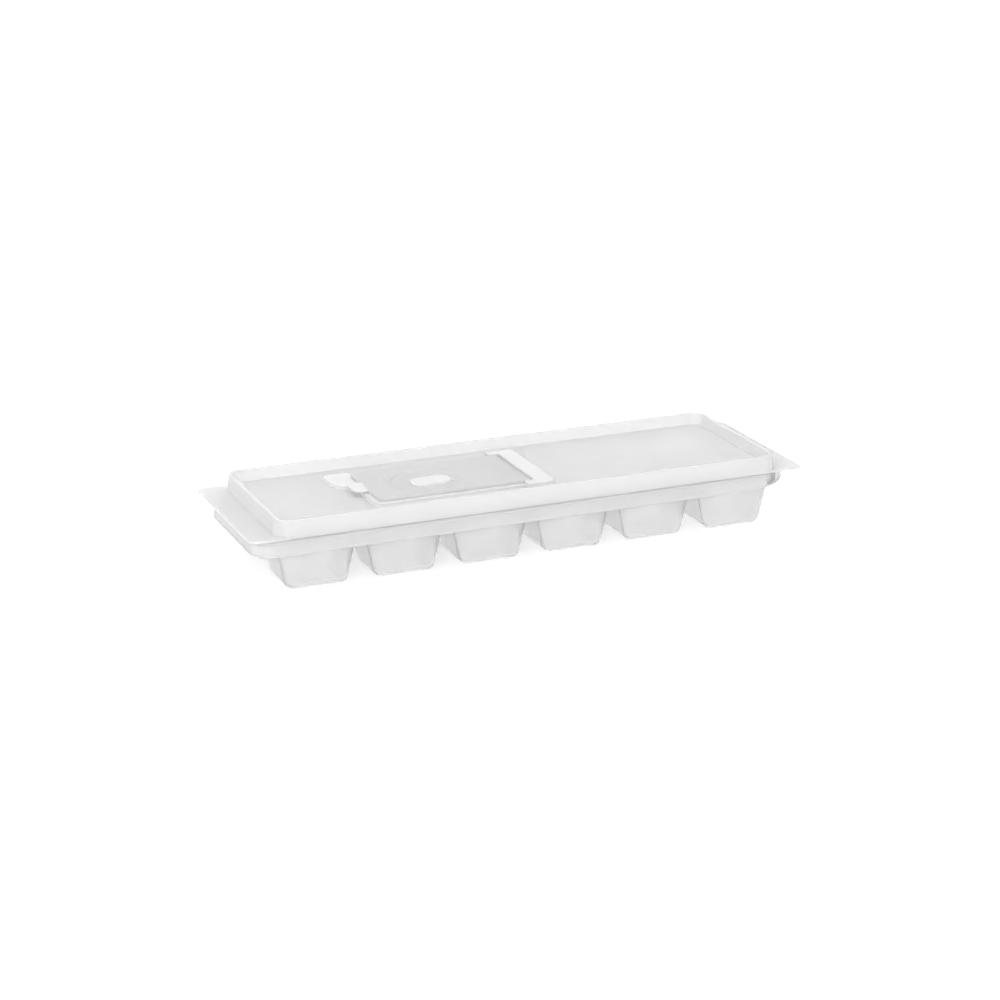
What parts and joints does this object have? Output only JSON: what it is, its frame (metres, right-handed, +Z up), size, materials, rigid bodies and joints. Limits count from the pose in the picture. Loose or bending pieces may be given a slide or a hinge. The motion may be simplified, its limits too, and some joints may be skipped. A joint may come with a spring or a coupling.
{
  "type": "ice cube tray with lid",
  "caption": "Clear plastic ice cube tray in two rows with a frosted lift-off lid, end tabs and a hinged fill hatch",
  "frame": {"origin": "middle of the tray's footprint, on the surface that the cups stand on", "axes": "+X runs along the tray towards the hinge end of the hatch, +Y runs to the back row of cups, +Z is up"},
  "size_m": [0.2966, 0.0954, 0.0375],
  "materials": {
    "tray_clear": "clear glossy injection moulded polystyrene",
    "lid_clear": "clear glossy moulded rim of the lid",
    "lid_frosted": "fine satin texture moulded into the lid panel",
    "hatch_frosted": "fine satin texture moulded into the hatch"
  },
  "bodies": {
    "tray": {"cup_front_1": "tray_clear", "cup_front_2": "tray_clear", "cup_front_3": "tray_clear", "cup_front_4": "tray_clear", "cup_front_5": "tray_clear", "cup_front_6": "tray_clear", "cup_back_1": "tray_clear", "cup_back_2": "tray_clear", "cup_back_3": "tray_clear", "cup_back_4": "tray_clear", "cup_back_5": "tray_clear", "cup_back_6": "tray_clear", "tray_rim": "tray_clear"},
    "lid": {"lid_rim": "lid_clear", "lid_panel": "lid_frosted"},
    "hatch": {"fill_hatch": "hatch_frosted"}
  },
  "joints": [
    {"name": "lid_lift", "type": "slide", "parent": "tray", "child": "lid", "axis": [0, 0, 1], "range_m": [0, 0.08]},
    {"name": "hatch_hinge", "type": "hinge", "parent": "lid", "child": "hatch", "pos_m": [0.004, 0, 0.0334], "axis": [0, 1, 0], "range_deg": [0, 105]}
  ]
}
